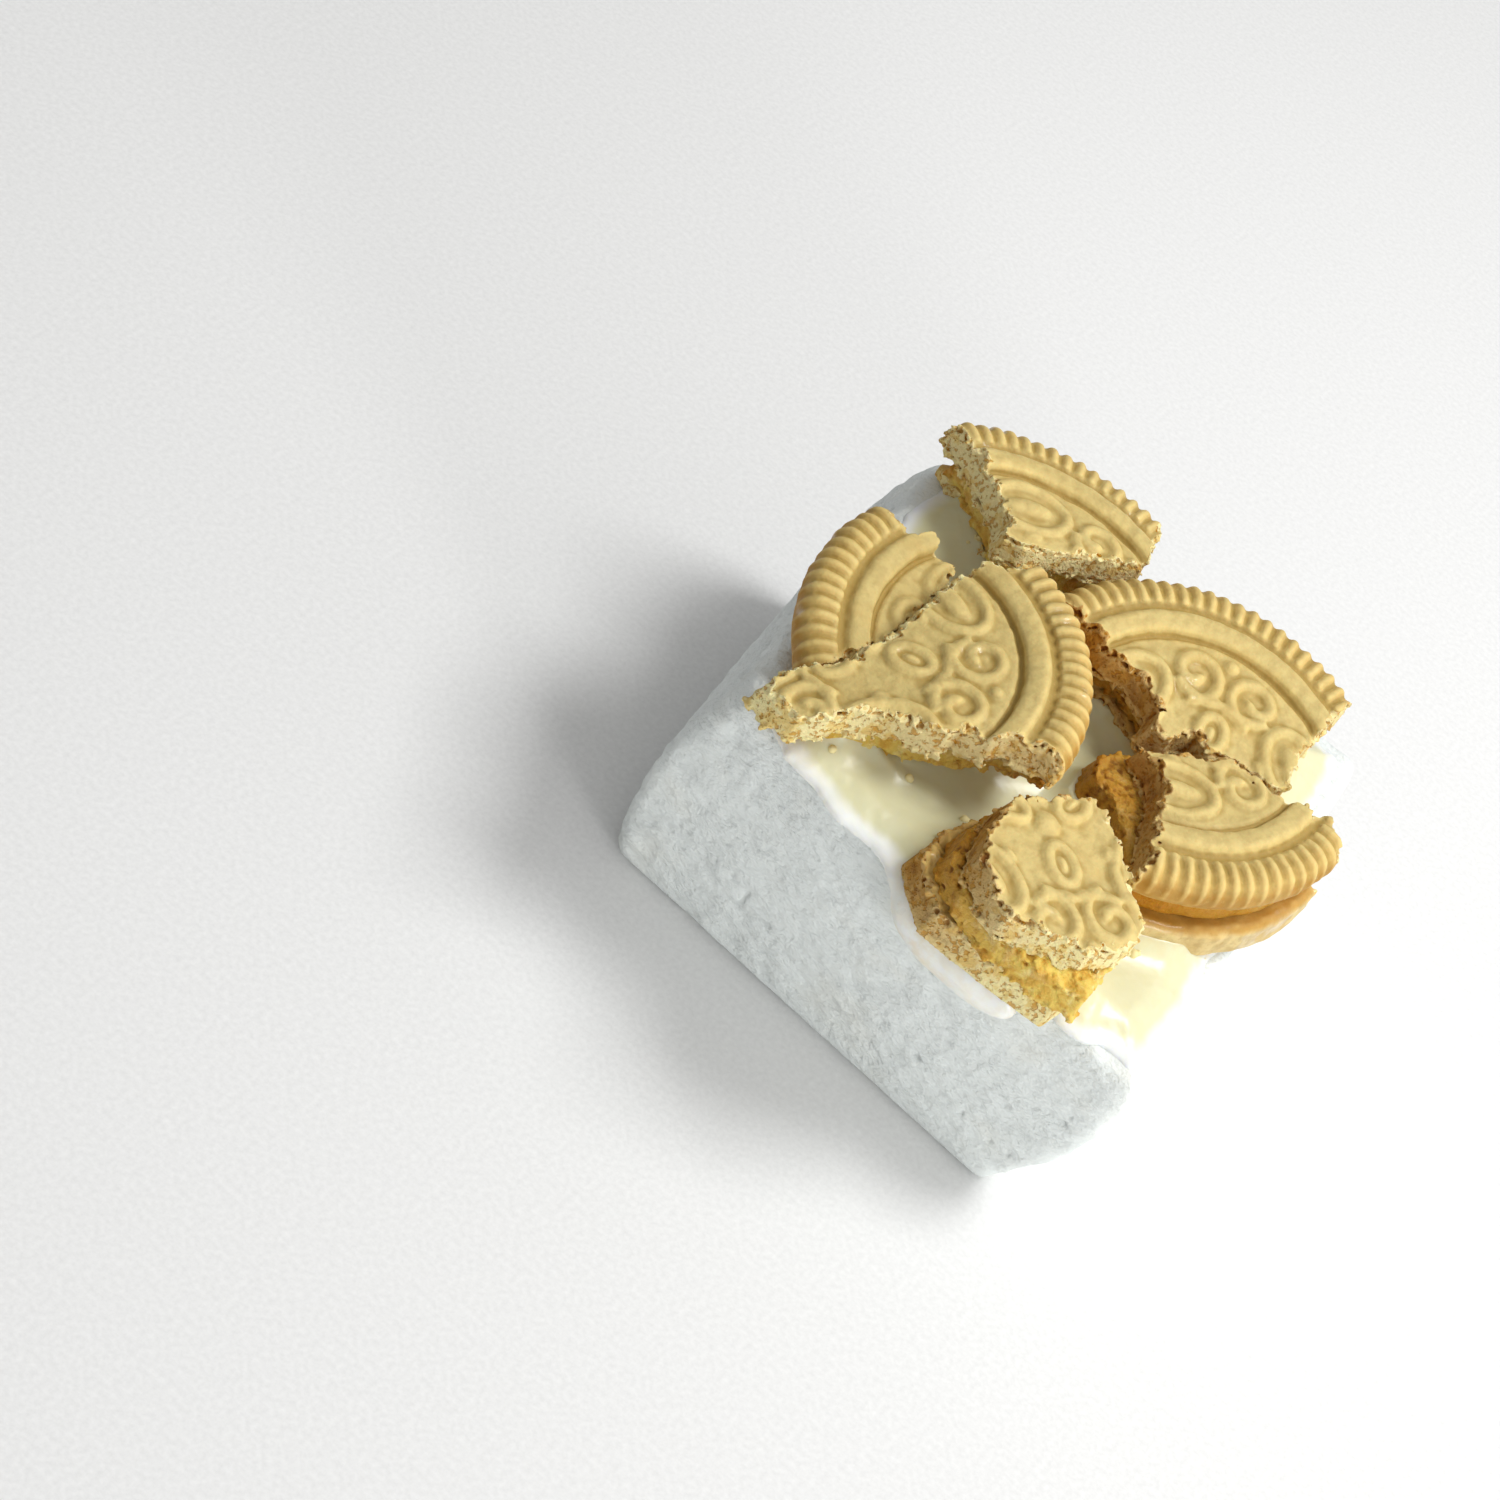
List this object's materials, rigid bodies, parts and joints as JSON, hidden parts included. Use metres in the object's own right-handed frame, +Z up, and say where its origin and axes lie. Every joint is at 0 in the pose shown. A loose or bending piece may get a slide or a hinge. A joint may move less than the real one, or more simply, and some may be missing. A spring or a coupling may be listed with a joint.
{
  "type": "lemon cookie marshmallow",
  "caption": "Hand-cut square of marshmallow under pale yellow icing, topped with broken pieces of lemon sandwich cookie; lies flat.",
  "frame": {"origin": "middle of the bounding box, at the base that the marshmallow stands on", "axes": "+X to the right along the front edge of the square, +Y towards its back, +Z up from the base to the cookie pieces"},
  "size_m": [0.0626, 0.0646, 0.0423],
  "materials": {
    "marshmallow": "soft matte white sponge, dusted, torn and pitted where it was cut",
    "icing": "smooth set icing with a soft gloss",
    "wafer": "baked biscuit face, satin, with pale crumb at the breaks",
    "cream": "firm lemon cream",
    "brown_wafer": "browner baked biscuit, rough crumb"
  },
  "bodies": {
    "root": {"marshmallow": "marshmallow", "icing": "icing", "back_face": "wafer", "back_cream": "cream", "back_base": "brown_wafer", "left_face": "wafer", "front_face": "wafer", "front_cream": "cream", "front_base": "brown_wafer", "right_face": "wafer", "right_cream": "cream", "right_base": "brown_wafer", "corner_face": "wafer", "corner_cream": "cream", "corner_base": "brown_wafer", "small_face": "wafer", "small_cream": "cream", "small_base": "brown_wafer"}
  },
  "joints": []
}
